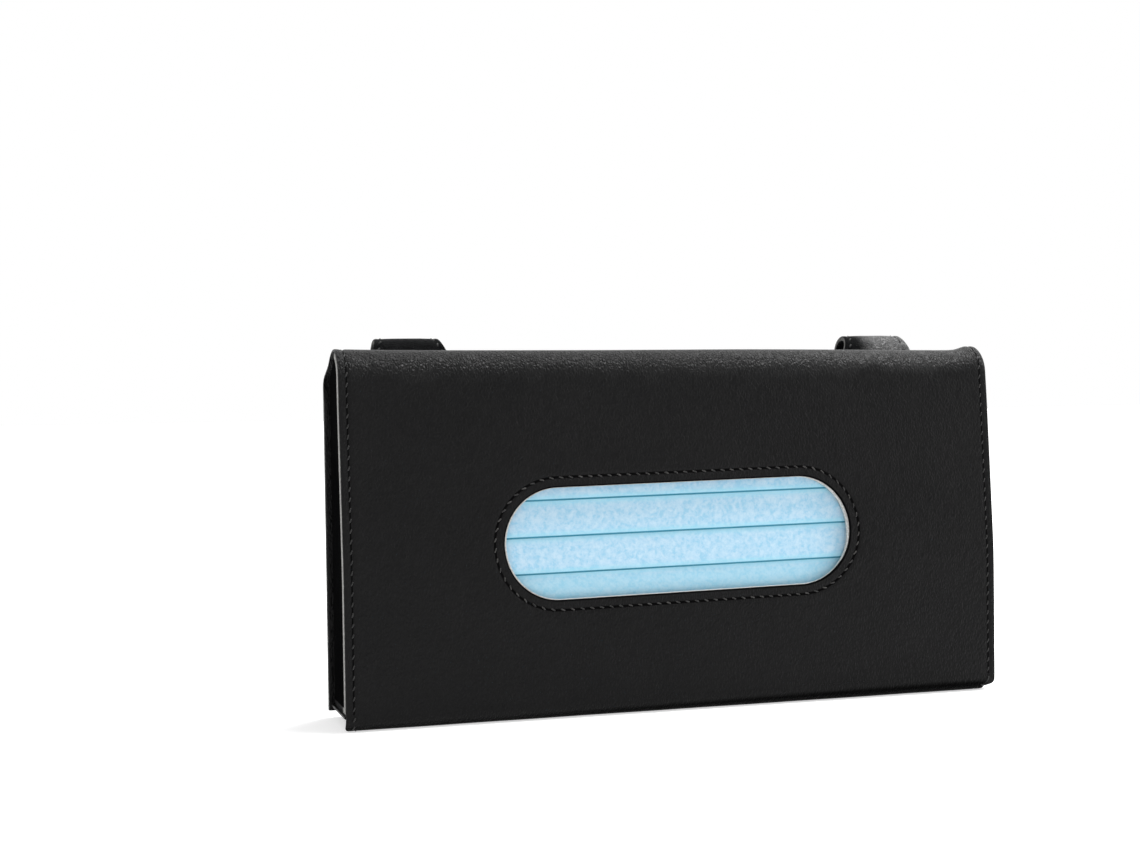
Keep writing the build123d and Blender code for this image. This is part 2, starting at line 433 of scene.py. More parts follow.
def soft_step(tree, *values):
    """The same with soft ends."""
    return remap(tree, *values, interpolation_type="SMOOTHSTEP")


def mixed_colour(tree, share, first, second):
    """The first colour at 0 to the second at 1."""
    return shade(tree, "Mix", {"Factor": share, "A": first, "B": second}, data_type="RGBA")


def ramp(tree, value, *stops):
    """A colour between two stops, each with its position."""
    node = tree.nodes.new("ShaderNodeValToRGB")
    feed(tree, node, {"Fac": value})
    for element, (place, colour) in zip(node.color_ramp.elements, stops):
        element.position, element.color = place, (*colour, 1)
    return node.outputs["Color"]


def dress(tree, shader, colour, height, strength, distance, constants, **settings):
    """Give a material's shader its colour, its relief from a height, and constant values."""
    sockets = {"Strength": strength, "Distance": distance, "Height": height}
    relief = shade(tree, "Bump", sockets, "Normal", **settings)
    feed(tree, shader, {"Base Color": colour, "Normal": relief, **constants})


# Every leather of the case has one pattern: fine pebbled grain with slow unevenness.
group = bpy.data.node_groups.new("leather_grain", "ShaderNodeTree")
for name, way, kind in (
    ("Cell size mm", "INPUT", "Float"),
    ("Dark colour", "INPUT", "Color"),
    ("Light colour", "INPUT", "Color"),
    ("Colour", "OUTPUT", "Color"),
    ("Height", "OUTPUT", "Float"),
    ("Roughness", "OUTPUT", "Float"),
):
    group.interface.new_socket(name, in_out=way, socket_type="NodeSocket" + kind)
entry, leave = group.nodes.new("NodeGroupInput").outputs, group.nodes.new("NodeGroupOutput")
where = position(group)
drawn = shade(group, "Mapping", {"Vector": where, "Scale": (1.35, 1.0, 0.72)}, "Vector")
bend = noise(group, drawn, 700.0, out="Color")
offsets = {0: bend, 1: (0.0008, 0.0008, 0.0008), 2: drawn}
stray = shade(group, "VectorMath", offsets, "Vector", operation="MULTIPLY_ADD")
scale = number(group, "DIVIDE", 1000.0, entry["Cell size mm"])
cells = {"Vector": stray, "Scale": scale}
edge = shade(group, "TexVoronoi", cells, "Distance", feature="DISTANCE_TO_EDGE")
pebble = soft_step(group, edge, 0.0, 0.35)
fine = noise(group, drawn, 900.0, 5.0, Roughness=0.65)
creased = noise(group, drawn, 210.0, 3.0, Distortion=1.2)
height = number(group, "MULTIPLY_ADD", creased, 3.2, pebble)
height = number(group, "MULTIPLY_ADD", fine, 1.2, height)
tone = remap(group, noise(group, where, 38.0, 5.0, Roughness=0.6), 0.3, 0.7)
colour = mixed_colour(group, tone, entry["Dark colour"], entry["Light colour"])
gloss = remap(group, pebble, 0.0, 1.0, 0.44, 0.3)
feed(group, leave, {"Colour": colour, "Height": height, "Roughness": gloss})


def leather_material(name, cell_mm, dark, light, bump, shine, bend_shine=None):
    """Black artificial leather. bend_shine is the rubbed top bend's: from x, to x, shine there."""
    material, tree, shader, where = node_material(name)
    grain = tree.nodes.new("ShaderNodeGroup")
    grain.node_tree = group
    feed(tree, grain, {"Cell size mm": cell_mm, "Dark colour": (*dark, 1)})
    feed(tree, grain, {"Light colour": (*light, 1)})
    feed(tree, shader, {"Roughness": grain.outputs["Roughness"], "Specular IOR Level": shine})
    if bend_shine:
        x, z = (shade(tree, "SeparateXYZ", {"Vector": where}, axis) for axis in "XZ")
        height = number(tree, "MULTIPLY_ADD", noise(tree, where, 60.0, 4.0), 0.012, z)
        rubbed = soft_step(tree, height, 118 * MM, 127 * MM)
        first_x, last_x, *shines = bend_shine
        along = soft_step(tree, x, first_x * MM, last_x * MM, *shines)
        shine = remap(tree, rubbed, 0.0, 1.0, shine, along)
        bump = remap(tree, rubbed, 0.0, 1.0, bump, 1.0)
    colour, height, constants = *grain.outputs[:2], {"Specular IOR Level": shine}
    dress(tree, shader, colour, height, bump, 0.0003, constants)
    return material


bend_shine = (-20, 115, 0.15, 0.3)
wrap_leather = leather_material(
    "wrap_leather", 1.25, (0.0030, 0.0030, 0.0032), (0.0046, 0.0045, 0.0047), 0.5, 0.09, bend_shine
)
# Painted shade: a near-black colour for the window's rim and the stitch grooves, where shade falls.
painted_edge_shade, tree, shader, where = node_material("painted_edge_shade")
edge_shade_stops = (0, (0.0004, 0.0004, 0.0005)), (1, (0.0016, 0.0015, 0.0016))
colour = ramp(tree, noise(tree, where, 500.0), *edge_shade_stops)
feed(tree, shader, {"Base Color": colour, "Roughness": 0.7, "Specular IOR Level": 0.03})
upper_runs = (apex_s, 0.7, notch_s, 0.8, back_corner_s, 1.2, back_s, 0.8, wrap_length, 2.7)
wrap_grid = cover_grid(wrap_half_width, 0, *upper_runs)
wrap = sheet_object("leather_wrap", *wrap_grid, wrap_outer, wrap_inner, wrap_leather)


def paint(piece, material, chosen):
    """Give a second material to the faces that chosen picks by their middle and direction."""
    piece.data.materials.append(material)
    for face in piece.data.polygons:
        x, y, z = (round(c / MM, 3) for c in face.center)
        if chosen(x, y + half_overall_depth, z, face.normal):
            face.material_index = 1


def in_painted_shade(x, y, z, facing):
    """Whether a face of the wrap is at the window's rim or under a row of stitches, where black
    painted shade goes.
    """
    rim = window_distance(x, z - wrap_bottom)
    near_rim = min(rim - rim_shade_width, abs(rim - window_stitch_gap) - groove_shade_width) < 0
    under_row = abs(wrap_half_width - abs(x) - wrap_stitch_inset) < groove_shade_width
    return under_row or (y < crown_centre[0] and near_rim)


paint(wrap, painted_edge_shade, in_painted_shade)
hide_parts("cover_skin", "case_skin", "back_board")
hinge_reach = 2.6
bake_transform(wrap)

# The wrap's stitches: black thread in a row 2.7 mm inside each end and 3.3 mm outside the window's
# rim. Each stitch is a short arched thread whose ends go down into the leather.
thread_radius = 0.23
stitch_pitch = 3.4
stitch_length = 2.1


def thread_material(name, light):
    """Black sewing thread: twisted strands with a slight shine. Its lighter strands are partly the
    twist's pattern and partly painted highlight.
    """
    material, tree, shader, where = node_material(name)
    waves_along = {"Vector": where, "Scale": 900.0, "Distortion": 1.0}
    twist = shade(tree, "TexWave", waves_along, "Fac", bands_direction="DIAGONAL")
    strands = number(tree, "MULTIPLY_ADD", twist, 0.25, noise(tree, where, 330.0))
    colour = ramp(tree, strands, (0.5, (0.003, 0.003, 0.0032)), (0.85, light))
    dress(tree, shader, colour, twist, 0.6, 0.00006, {"Roughness": 0.3, "Specular IOR Level": 0.4})
    return material


# Painted highlight: each thread's light colour stands for glints, strong on the window's stitches
# and faint on the other rows.
window_thread_painted_highlight = thread_material("window_thread_painted_highlight", (0.050, 0.047, 0.044))
seam_thread_faint_highlight = thread_material("seam_thread_faint_highlight", (0.014, 0.0135, 0.013))


def route_along(points):
    """A route over a flat sheet from its corner points."""
    return route([line_piece(a, b) for a, b in zip(points, points[1:])])


def stitch_row(name, surface, routes, seed, thread):
    """Rows of stitches over a sheet. Routes are flat lines on it, and surface gives their place."""
    draw = random.Random(seed)
    work = bmesh.new()
    sides, reach = 6, 0.05

    def step(start, end):
        return Vector(surface(*end)) - Vector(surface(*start))

    for total, at in routes:
        count = max(1, round(total / stitch_pitch))
        for k in range(count):
            middle = (k + 0.5) * total / count
            slant = draw.uniform(-0.55, -0.3)
            length = stitch_length * draw.uniform(0.95, 1.05)
            rings = []
            for share in (-1.0, -0.86, -0.5, 0.0, 0.5, 0.86, 1.0):
                t = min(max(middle + share * length / 2, 0.0), total)
                x, s = at(t)
                along = step(at(max(t - reach, 0.0)), at(min(t + reach, total))).normalized()
                over_x = step((x - reach, s), (x + reach, s))
                out = over_x.cross(step((x, s - reach), (x, s + reach))).normalized()
                beside = out.cross(along)
                rise = thread_radius * (0.9 - 2.8 * abs(share) ** 3)
                centre = Vector(surface(x, s)) + out * rise * MM + beside * (slant * share) * MM
                size = thread_radius * (1.0 - 0.35 * share**4) * MM
                ring = []
                for i in range(sides):
                    turn = math.tau * i / sides
                    across, up = size * 1.15 * math.cos(turn), size * math.sin(turn)
                    ring.append(work.verts.new(centre + beside * across + out * up))
                rings.append(ring)
            for a, b in zip(rings, rings[1:]):
                for i in range(sides):
                    j = (i + 1) % sides
                    work.faces.new([a[i], a[j], b[j], b[i]])
            work.faces.new(list(reversed(rings[0])))
            work.faces.new(rings[-1])
    piece = smooth_piece(name, work, thread)
    return piece


window_line = []
reach = window_radius + window_stitch_gap
for far_x, first in ((200, -90), (-200, 90)):
    mx, ms = window_middle(far_x, window_s)
    for i in range(25):
        turn = math.radians(first + window_tilt + 180 * i / 24)
        window_line.append((mx + reach * math.cos(turn), ms + reach * math.sin(turn)))
window_route = route_along(window_line + [window_line[0]])
stitch_x = wrap_half_width - wrap_stitch_inset
end_rows = [route_along([(x, 0.0), (x, wrap_length)]) for x in (-stitch_x, stitch_x)]
end_stitches = stitch_row("wrap_end_stitches", wrap_outer, end_rows, 21, seam_thread_faint_highlight)
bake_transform(end_stitches)
window_stitches = stitch_row("window_stitches", wrap_outer, [window_route], 22, window_thread_painted_highlight)
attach(window_stitches, "cover")

# The bottom flap: the wrap's leather goes on round the fold and under the case, where a thin board
# stiffens it and its edges are turned. Two magnets in it hold it to the tray.
fold_radius = 5.0
flap_end = 27.0
flap_half_width = 113.5
flap_corner_radius = 5.0
flap_edge_round = 0.7
flap_thickness = 3.0
fold = arc_piece((fold_radius, fold_radius), fold_radius, 270, 180)
flap_length, flap_place, _ = profile((flap_end, 0), fold, (0, wrap_bottom))
flap_flat = flap_end - fold_radius
# How high the fold's painted shade goes on the flap's widened right end.
right_fold_top = 1.6


def flap_reach(side, s):
    """The flap's half width on its left or right side (-1 or 1), at a distance from its free end.
    The wrap's round corner is at the fold's foot on the left, and up the fold on the right."""
    foot, slope, radius = (flap_flat, 7.0, 1.3) if side < 0 else (flap_flat + 4.5, 0.7, 1.9)
    above_foot = max(flap_place(s)[1] - flap_place(foot)[1], 0)
    widening = wrap_half_width - flap_half_width - rounded(above_foot, radius)
    widening *= eased(s, foot - slope, foot)
    return flap_half_width + widening - rounded(s, flap_corner_radius)


def flap_outer(u, s):
    x = u * flap_reach(u, s)
    from_end = (1 - abs(u)) * flap_reach(u, s)
    depth = rounded(from_end, end_round) + rounded(s, flap_edge_round)
    depth += 0.22 * groove(from_end - wrap_stitch_inset, 0.55) * eased(s, flap_flat, flap_flat + 2)
    depth += 0.04 * (1 + waves(x, s, 5, 70.0, 31.0)) * eased(s, 0, 4)
    return below(flap_place, x, s, depth)


def flap_inner(u, s):
    reach = flap_reach(u, s)
    board = (flap_thickness - leather_thickness) * eased(s, flap_flat - 1.0, flap_flat + 1.5)
    edges = rounded(s, flap_edge_round) + rounded((1 - abs(u)) * reach, 0.4)
    return below(flap_place, u * reach, s, flap_thickness - board - edges)


flap_columns = [x / wrap_half_width for x in edge_columns(wrap_half_width, 4.0)]
flap_rows = [0.0, 0.15, 0.4, 0.8, 1.4, 2.2, 3.2, 4.4]
flap_rows += spread(5.6, flap_flat - 2.4, 2.5, flap_length - 1.0, 0.5, flap_length, 0.5)
flap_grid = grid_faces(flap_columns, flap_rows)
flap = sheet_object("flap_leather", *flap_grid, flap_outer, flap_inner, wrap_leather)

# The fold's leather is the wrap's with painted shade: its colour and shine darken down the fold's
# underside, and the painted shade reaches higher up at the right.
fold_shaded_leather = wrap_leather.copy()
fold_shaded_leather.name = "fold_shaded_leather"
tree = fold_shaded_leather.node_tree
shader = tree.nodes["Principled BSDF"]
x, z = (shade(tree, "SeparateXYZ", {"Vector": position(tree)}, axis) for axis in "XZ")
painted_shade_top = soft_step(tree, x, -100 * MM, 108 * MM, 0.8 * MM, 2.8 * MM)
# Painted shade: 0.15 of the leather's colour and shine at the bottom, rising to the plain leather 2
# mm higher.
dark = soft_step(tree, number(tree, "SUBTRACT", z, painted_shade_top), 0.0, 2.0 * MM, 0.15)
colour = shader.inputs["Base Color"].links[0].from_socket
shine = shader.inputs["Specular IOR Level"].links[0].from_socket
shaded_colour = shade(tree, "VectorMath", {0: colour, "Scale": dark}, "Vector", operation="SCALE")
feed(tree, shader, {"Base Color": shaded_colour, "Specular IOR Level": number(tree, "MULTIPLY", shine, dark)})


def on_shaded_fold(x, y, z, facing):
    """Whether a face of the flap is on the fold, which gets the painted shade; it ends lower at the
    far right.
    """
    return y < fold_radius and (x < flap_half_width or z < right_fold_top)


paint(flap, fold_shaded_leather, on_shaded_fold)
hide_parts("flap_skin", "flap_board", "flap_lining", "flap_magnets")
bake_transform(flap)


def flap_side(side):
    """The flat line of the flap's stitches down one side and round its corner."""
    inset = wrap_stitch_inset
    turn = flap_corner_radius - 1.5
    last = flap_half_width - inset
    levels = reversed(spread(inset + turn, flap_length, 1.0))
    line = [(side * (flap_reach(side, s) - inset), s) for s in levels]
    return line + [(side * (last - turn * 0.3), inset + turn * 0.3), (side * (last - turn), inset)]


flap_route = route_along(flap_side(1) + list(reversed(flap_side(-1))))
flap_stitches = stitch_row(
    "flap_stitches",
    lambda x, s: flap_outer(x / flap_reach(x, s), s),
    [flap_route],
    23,
    seam_thread_faint_highlight,
)
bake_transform(flap_stitches)

# The tray's bottom: a second piece of the leather, glued under the tray board from the back to the
# board's cut front edge, which it leaves bare.
tray_underside = 4.0
tray_front = 3.4
tray_back = case_depth - leather_thickness - back_board_thickness
tray_length, tray_place, _ = profile((tray_back, tray_underside), (tray_front, tray_underside))


def tray_outer(x, s):
    depth = rounded(wrap_half_width - abs(x), end_round) + rounded(tray_length - s, 0.4)
    return below(tray_place, x, s, depth)


def tray_inner(x, s):
    return below(tray_place, x, s, leather_thickness)


tray_rows = spread(0, tray_length - 1.2, 4.0) + [tray_length - d for d in (0.5, 0.2, 0)]
tray_grid = grid_faces(edge_columns(wrap_half_width, 6.0), tray_rows)
tray = sheet_object("tray_leather", *tray_grid, tray_outer, tray_inner, wrap_leather)
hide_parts("case_magnets")
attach(tray, "case")

# The end walls: two upright gussets of the same leather over card, set 1.5 mm inside the case's
# ends, with edges rounded by the turned leather.
end_leather = leather_material(
    "end_wall_leather", 0.8, (0.0032, 0.0032, 0.0034), (0.0054, 0.0054, 0.0056), 0.6, 0.0
)
wall_sharp_from = 40
wall_soft_from = 100
for side in ("left", "right"):
    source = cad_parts[f"{side}_end_wall"]
    work = bmesh.new()
    work.from_mesh(source.data)
    bmesh.ops.transform(work, matrix=source.matrix_world, verts=work.verts)
    bmesh.ops.remove_doubles(work, verts=work.verts, dist=0.00001)
    flat = math.radians(0.5)
    bmesh.ops.dissolve_limit(work, angle_limit=flat, verts=work.verts, edges=work.edges)
    for vert in work.verts:
        if vert.co.z > wall_soft_from * MM:
            depth = vert.co.y / MM + half_overall_depth
            sag = top_sag(vert.co.x / MM, apex_s + depth - crown_centre[0])
            vert.co.z -= max(sag, 0.0) * MM
    end_wall = smooth_piece(f"{side}_end_leather", work, end_leather, wall_sharp_from)
    soft = end_wall.modifiers.new("turned_edge", "BEVEL")
    soft.width = 0.4 * MM
    soft.segments = 3
    soft.angle_limit = math.radians(wall_sharp_from)
    soft.harden_normals = True
    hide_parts(f"{side}_end_wall")
    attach(end_wall, "case")

# The boards: stiff white card inside the leather. Only its cut edges show, along the cover's two
# ends, at the tray's front and inside the window.


def card_material(name, papered_from=None, pale=1):
    """Cut white card, a little grey, with fine layers. Black paper covers it from a depth on."""
    material, tree, shader, where = node_material(name)
    layers = noise(tree, where, 1500.0, 3.0)
    greys = (0.30, 0.295, 0.285), (0.52, 0.515, 0.50)
    dark, light = (tuple(value * pale for value in grey) for grey in greys)
    colour = ramp(tree, layers, (0.3, dark), (0.7, light))
    if papered_from:
        place = shade(tree, "NewGeometry", {}, "Position")
        back = shade(tree, "SeparateXYZ", {"Vector": place}, "Y")
        torn = number(tree, "MULTIPLY_ADD", layers, 0.0004, back)
        papered = number(tree, "GREATER_THAN", torn, (papered_from - half_overall_depth) * MM)
        colour = mixed_colour(tree, papered, colour, (0.004, 0.004, 0.0042, 1))
    dress(tree, shader, colour, layers, 0.4, 0.0001, {"Roughness": 0.85, "Specular IOR Level": 0.1})
    return material


white_card = card_material("cut_white_card")
tray_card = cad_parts["tray_board"].data
tray_card.materials.clear()
tray_card.materials.append(card_material("papered_white_card", 13.0))


def cover_layer(name, half_width, depths, set_back, end_back, material, node):
    """A layer inside the cover, from just above the fold to just before the hinge. Its hole's edge
    is set back from the window's by set_back, and by end_back at the two round ends. At the right
    end's lower half a proud edge goes back under the leather."""

    def side(depth, sign):
        def point(x, s):
            rim = window_distance(x, s)
            edge = sign * (rounded(half_width - abs(x), 0.12) + rounded(rim, 0.12))
            inward = depth + edge + top_sag(x, s)
            mx, ms = window_middle(x, s)
            off = max(math.dist((x, s), (mx, ms)), 1)
            back = set_back + (end_back - set_back) * abs(x - mx) / off
            if end_back < 0:
                back += 1.15 * max(x - mx, 0) * max(ms - s, 0) / off**2
            back = back * (1 - eased(rim, 0, 3)) / off
            return below(wrap_place, x + (x - mx) * back, s + (s - ms) * back, inward)

        return point

    grid = cover_grid(half_width, 0.5, apex_s - hinge_reach - 0.4, 0.7)
    layer = sheet_object(name, *grid, side(depths[0], 1), side(depths[1], -1), material)
    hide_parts(node)
    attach(layer, "cover")
    return layer


board_half_width = 117.3
board_thickness = 1.6
lining_thickness = 0.5
board_inside = leather_thickness + board_thickness
board_depths = (leather_thickness, board_inside)
cover_card = cover_layer(
    "cover_card",
    board_half_width,
    board_depths,
    -0.12,
    -0.65,
    white_card,
    "cover_board",
)


def at_window(x, y, z, facing):
    """Whether a face of the board is at the window."""
    return y < crown_centre[0] and window_distance(x, z - wrap_bottom) < 2


# Painted light: the card's cut edge round the window gets a paler copy of the card, making up for
# the rim's shade on it.
paint(cover_card, card_material("window_card_painted_light", pale=1.4), at_window)

# The linings: thin black cloth glued inside the cover, the tray and the back. A fine weave shows in
# its colour and its relief.
lining_cloth, tree, shader, where = node_material("lining_cloth")
ribs = {"Vector": where, "Scale": 560.0, "Distortion": 0.6}
warp, weft = (shade(tree, "TexWave", ribs, "Fac", bands_direction=way) for way in "XZ")
weave = number(tree, "MAXIMUM", warp, weft)
colour = ramp(tree, weave, (0, (0.004, 0.004, 0.0045)), (1, (0.013, 0.013, 0.0135)))
dress(tree, shader, colour, weave, 0.5, 0.00008, {"Roughness": 0.8})
lining_depths = (board_inside, board_inside + lining_thickness)
cover_lining = cover_layer(
    "cover_lining_cloth",
    wrap_half_width,
    lining_depths,
    0.8,
    0.8,
    lining_cloth,
    "cover_lining",
)
case_lining_half_width = 114.2
tray_floor = 7.0
back_inside = 28.6
lining_turn = 1.5
lining_top = 114.5
lining_corner = (back_inside - lining_turn, tray_floor + lining_turn)
lining_arc = arc_piece(lining_corner, lining_turn, -90, 0)
lining_length, lining_place, _ = profile(
    (tray_front, tray_floor), lining_arc, (back_inside, lining_top)
)


def case_lining_side(depth):
    """The lining's shown side at depth 0, or its glued side."""

    def point(x, s):
        lift = 0.04 * (1 + waves(x, s, 31, 33.0, 21.0)) if depth == 0 else 0
        return below(lining_place, x, s, depth - lift)

    return point


lining_columns = spread(-case_lining_half_width, case_lining_half_width, 4.0)
lining_step = lining_length - 100
lining_rows = spread(0, lining_step, 2.5, lining_length, 3.5)
case_lining = sheet_object(
    "case_lining_cloth",
    *grid_faces(lining_columns, lining_rows),
    case_lining_side(0),
    case_lining_side(lining_thickness),
    lining_cloth,
)
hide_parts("case_lining")
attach(case_lining, "case")

# The two strap loops: leather folded double and sewn, stitched to the back at one end. Each goes
# over a visor and closes on the back with a hook patch at its free end.
strap_half_width = 11.4
root_half_width = 13.4
root_shoulder = 123.0
strap_thickness = 2.0
strap_centres = {"left": -87.8, "right": 87.8}
strap_root_z = 88.8
loop_centre = (39.2, 120.8)
loop_radius = 7.2
tail_angle = 9.0
tail_bend_radius = 25.0
tail_face_y = 34.6
tail_end_z = 28.0
tail_corner_radius = 6.0
# A strap's outer side goes up the back, over the loop, slants in, then goes down to its free end.
slant = math.radians(tail_angle)
clear_radius = loop_radius - strap_thickness
start_y = loop_centre[0] + clear_radius * math.cos(slant)
start_z = loop_centre[1] - clear_radius * math.sin(slant)
bend_y = tail_face_y + tail_bend_radius
run = (start_y - bend_y + tail_bend_radius * math.cos(slant)) / math.tan(slant)
bend_z = start_z - run - tail_bend_radius * math.sin(slant)
bend = tail_bend_radius - strap_thickness
strap_length, strap_place, stretches = profile(
    (case_depth, strap_root_z),
    arc_piece(loop_centre, loop_radius, 180, -tail_angle),
    arc_piece((bend_y, bend_z), bend, 180 - tail_angle, 180),
    (bend_y - bend, tail_end_z),
)
root_length = stretches[0][0]
loop_end_s = root_length + stretches[1][0]
strap_stitch_inset = 2.2


def strap_reach(s):
    """A strap's half width: widest where it is sewn on, then narrowing to the top of its loop."""
    head = root_length + loop_radius * math.pi / 2
    if s < head:
        z = strap_place(s)[1]
        top = loop_centre[1] + loop_radius
        share = min(max((z - root_shoulder) / (top - root_shoulder), 0), 1)
        return root_half_width + (strap_half_width - root_half_width) * share
    return strap_half_width - rounded(strap_length - s, tail_corner_radius)


def strap_side(underside, centre_x):
    """The point of a strap's outer or inner side, with a rolled edge and pressed stitch rows."""

    def point(u, s):
        reach = strap_reach(s)
        rim = min((1 - abs(u)) * reach, strap_length - s)
        fall = rounded(rim, 0.8) + 0.16 * groove(rim - strap_stitch_inset, 0.5)
        fall -= 0.1 * eased(rim, 3.0, 7.0)
        depth = strap_thickness - fall if underside else fall
        return below(strap_place, centre_x + u * reach, s, depth)

    return point


from_edge = (0, 0.1, 0.3, 0.6, 1.0, 1.5, 1.9, 2.2, 2.5, 2.9, 3.6, 4.8, 6.6, 8.8)
strap_columns = mirrored([-1 + d / strap_half_width for d in from_edge], 0.2)
strap_rows = [0.0, 0.3, 0.8, 1.5]
near_end = strap_length - 2.9
strap_rows += spread(2.4, root_length, 2.2, loop_end_s, 0.7, strap_length - 8, 2.2, near_end, 0.8)
strap_rows += [strap_length - d for d in (2.5, 2.2, 1.9, 1.5, 1.0, 0.6, 0.3, 0.1, 0)]
strap_grid = grid_faces(strap_columns, strap_rows)
last = strap_length - strap_stitch_inset
turn = tail_corner_radius - strap_stitch_inset
strap_line = []
for s in spread(strap_stitch_inset, last - turn, 2.5, last, 0.5):
    head = strap_reach(min(s, strap_length - tail_corner_radius))
    strap_line.append((head - strap_stitch_inset - rounded(last - s, turn), s))
strap_line += [(-x, s) for x, s in reversed(strap_line)]
strap_route = route_along(strap_line + [strap_line[0]])
loop_shine = (80, 89, 0.02, 1.1)
strap_leather = leather_material(
    "strap_leather", 0.7, (0.0030, 0.0032, 0.0036), (0.0050, 0.0053, 0.0058), 0.45, 0.09, loop_shine
)
strap_core = card_material("strap_cut_edge", pale=0.35)
for side, centre in strap_centres.items():
    outer, inner = strap_side(False, centre), strap_side(True, centre)
    strap = sheet_object(f"{side}_strap_leather", *strap_grid, outer, inner, strap_leather)
    paint(strap, strap_core, lambda x, y, z, facing: abs(facing.x) > 0.9)
    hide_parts(f"{side}_strap_root", f"{side}_strap")
    stitches = stitch_row(
        f"{side}_strap_stitches",
        lambda x, s: outer(x / strap_reach(s), s),
        [strap_route],
        24 + len(side),
        seam_thread_faint_highlight,
    )
    for piece in (strap, stitches):
        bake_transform(piece)

# The patches: hook-and-loop tape, loops sewn on the back and hooks on each strap's free end. The
# pile is modelled as a rough fuzzy face on a woven tape with round corners.
patch_half_width = 9.4
patch_thickness = 1.2
patch_corner_radius = 1.5
loop_patch_z = (22.0, 58.0)
hook_patch_z = (31.0, 53.0)


def pile_material(name, dark, light, cell):
    """Fuzzy nylon tape: a mat of tiny loops or hooks in black."""
    material, tree, shader, where = node_material(name)
    tufts = shade(tree, "TexVoronoi", {"Vector": where, "Scale": 1000.0 / cell}, "Distance")
    pile = number(tree, "MULTIPLY_ADD", noise(tree, where, 2200.0, 4.0), 0.7, tufts)
    colour = ramp(tree, pile, (0.3, light), (0.9, dark))
    constants = {"Roughness": 0.85, "Sheen Weight": 0.3}
    dress(tree, shader, colour, pile, 0.9, 0.0003, constants, invert=True)
    return material


def tape_patch(name, centre_x, face_y, facing, z_range, pile, seed, material):
    """A tape patch on a flat face. Its pile faces the back if facing is 1 and the front if -1."""
    first_z, last_z = z_range
    length = last_z - first_z
    draw = random.Random(seed)

    def reach(t):
        return patch_half_width - rounded(min(t, length - t), patch_corner_radius)

    def pile_side(u, t):
        rim = min((1 - abs(u)) * reach(t), t, length - t)
        high = patch_thickness - 0.55 * (1 - eased(rim, 0.9, 1.5)) - rounded(rim, 0.3)
        high -= pile * draw.random() * eased(rim, 1.0, 1.6)
        return in_frame(centre_x + u * reach(t), face_y + facing * high, first_z + t)

    def glued_side(u, t):
        return in_frame(centre_x + u * reach(t), face_y, first_z + t)

    columns = mirrored([-1, -0.985, -0.96, -0.9, -0.86], 0.055)
    ends = [0.0, 0.1, 0.3, 0.8, 1.2]
    rows = ends + spread(1.2, length - 1.2, 0.45)[1:-1] + [length - t for t in reversed(ends)]
    return sheet_object(name, *grid_faces(columns, rows), pile_side, glued_side, material)


loop_pile = pile_material("loop_pile", (0.004, 0.004, 0.004), (0.024, 0.024, 0.025), 0.55)
hook_pile = pile_material("hook_pile", (0.005, 0.005, 0.005), (0.030, 0.030, 0.031), 0.8)
for side, centre in strap_centres.items():
    for kind, *patch in (
        ("loop", case_depth, 1, loop_patch_z, 0.25, 51, loop_pile),
        ("hook", tail_face_y, -1, hook_patch_z, 0.35, 52, hook_pile),
    ):
        tape = tape_patch(f"{side}_{kind}_tape", centre, *patch)
        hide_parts(f"{side}_{kind}_patch")
        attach(tape, "case" if kind == "loop" else f"{side}_strap")

# The front mask: soft blue non-woven cloth in three plies, with three pleats that open downwards,
# welded along its short ends and round a nose wire at the top.
mask_half_width = 87.5
mask_bottom = 7.5
mask_top = 102.5
mask_face = 3.4
mask_pleats = (49.0, 61.2, 73.4)
pleat_pitch = 12.2
pleat_step = 0.55
pleat_tuck = 1.6
ply = 0.32
mask_back = 2.0
wire_z = 97.5
wire_end = 48


def mask_lean(z):
    """How far the masks lean back with the cover above the knee."""
    return max(z - lean_knee(), 0) * math.tan(math.radians(lean_angle))


# The mask's side from its face's bottom to its top, which tucks in under each pleat.
mask_path = [(mask_back, mask_bottom), (0.4, mask_bottom), (0.1, mask_bottom + 0.3)]
foot = mask_bottom
tucked = (
    (pleat_step + 0.03, pleat_tuck * 0.6),
    (pleat_step + 0.1, pleat_tuck),
    (pleat_step - 0.02, pleat_tuck * 1.02),
    (ply + 0.04, pleat_tuck * 0.5),
    (ply, 0.22),
    (ply * 0.7, 0.03),
    (ply * 0.3, 0.04),
    (0.0, 0.25),
)
for head in mask_pleats:
    count = round((head - foot) / 1.6)
    for i in range(1, count + 1):
        mask_path.append((pleat_step * (i / count) ** 1.3, foot + (head - foot) * i / count))
    mask_path += [(d, head + rise) for d, rise in tucked]
    foot = head
for i in range(1, 19):
    mask_path.append((pleat_step * 0.8 * (i / 18) ** 1.3, foot + (mask_top - 0.4 - foot) * i / 18))
mask_path += [(pleat_step + 0.3, mask_top), (mask_back, mask_top)]


def lofted(name, path, columns, place, material):
    """A closed solid from a closed side path carried along x, with flat ends."""
    work = bmesh.new()
    rings = [[work.verts.new(place(x, d, z)) for d, z in path] for x in columns]
    for a, b in zip(rings, rings[1:]):
        for i in range(len(path)):
            j = (i + 1) % len(path)
            work.faces.new([a[i], b[i], b[j], a[j]])
    work.faces.new(rings[0])
    work.faces.new(list(reversed(rings[-1])))
    bmesh.ops.triangulate(work, faces=[f for f in work.faces if len(f.verts) > 4])
    return smooth_piece(name, work, material, 55)


def mask_point(x, d, z):
    """A point of the front mask: d deep behind its plain face, with slow slack in the cloth."""
    free = 1 if d < mask_back else 0
    slack = (0.10 * waves(x, z, 11, 37.0, 23.0, 90.0) + 0.12) * free
    inner = eased(z, mask_bottom + 2, 40) * (1 - eased(z, 85, mask_top - 6)) * free
    wander = inner * (0.12 * waves(x, 0, 12 + round(z / pleat_pitch), 55.0, 21.0) + 0.012 * x)
    wire = 0.35 * groove(z - wire_z, 1.6) * (1 - eased(abs(x), wire_end, wire_end + 3)) * free
    return in_frame(x, mask_face + d + slack - wire + mask_lean(z), z + wander)
